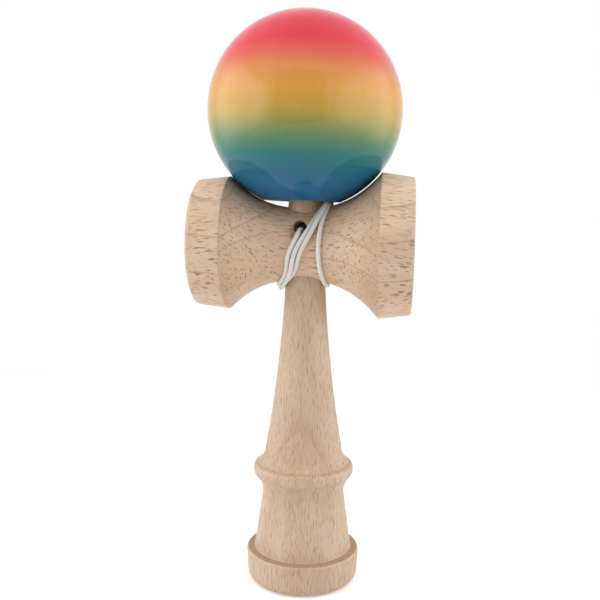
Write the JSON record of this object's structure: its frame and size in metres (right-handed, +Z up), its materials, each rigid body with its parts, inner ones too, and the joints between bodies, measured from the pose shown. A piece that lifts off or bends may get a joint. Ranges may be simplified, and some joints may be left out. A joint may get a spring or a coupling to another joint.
{
  "type": "kendama",
  "caption": "Wooden skill toy: a turned handle with a spike and a hollow base, a cross-piece with a large and a small cup, and a lacquered ball on the spike, tied on with a cord.",
  "frame": {"origin": "middle of the base rim, on the plane that the handle stands on", "axes": "+Z up the handle to the spike, +X along the cross-piece to its big cup, -Y the side with the string hole"},
  "size_m": [0.0682, 0.0619, 0.1822],
  "materials": {
    "handle_wood": "raw beech, sanded, grain along the handle",
    "cross_wood": "raw beech, sanded, grain along the cross-piece",
    "lacquer": "gloss lacquer fading from red through yellow and green to blue",
    "bead_wood": "plain turned wood",
    "string": "white braided cord"
  },
  "bodies": {
    "ken": {"ken": "handle_wood", "sarado": "cross_wood", "string_knot": "string", "string_winding": "string", "string_tail": "string"},
    "bead": {"bead": "bead_wood", "string_bead_knot": "string", "string_over_ball": "string"},
    "tama": {"tama": "lacquer"}
  },
  "joints": [
    {"name": "tama_lift", "type": "slide", "parent": "ken", "child": "bead", "axis": [0, 0, 1], "range_m": [0, 0.05], "deforming": ["string_tail"]},
    {"name": "tama_spin", "type": "hinge", "parent": "bead", "child": "tama", "pos_m": [-0.0004, 0, 0.16447], "axis": [0.0227, 0, 0.9997], "continuous": true}
  ]
}
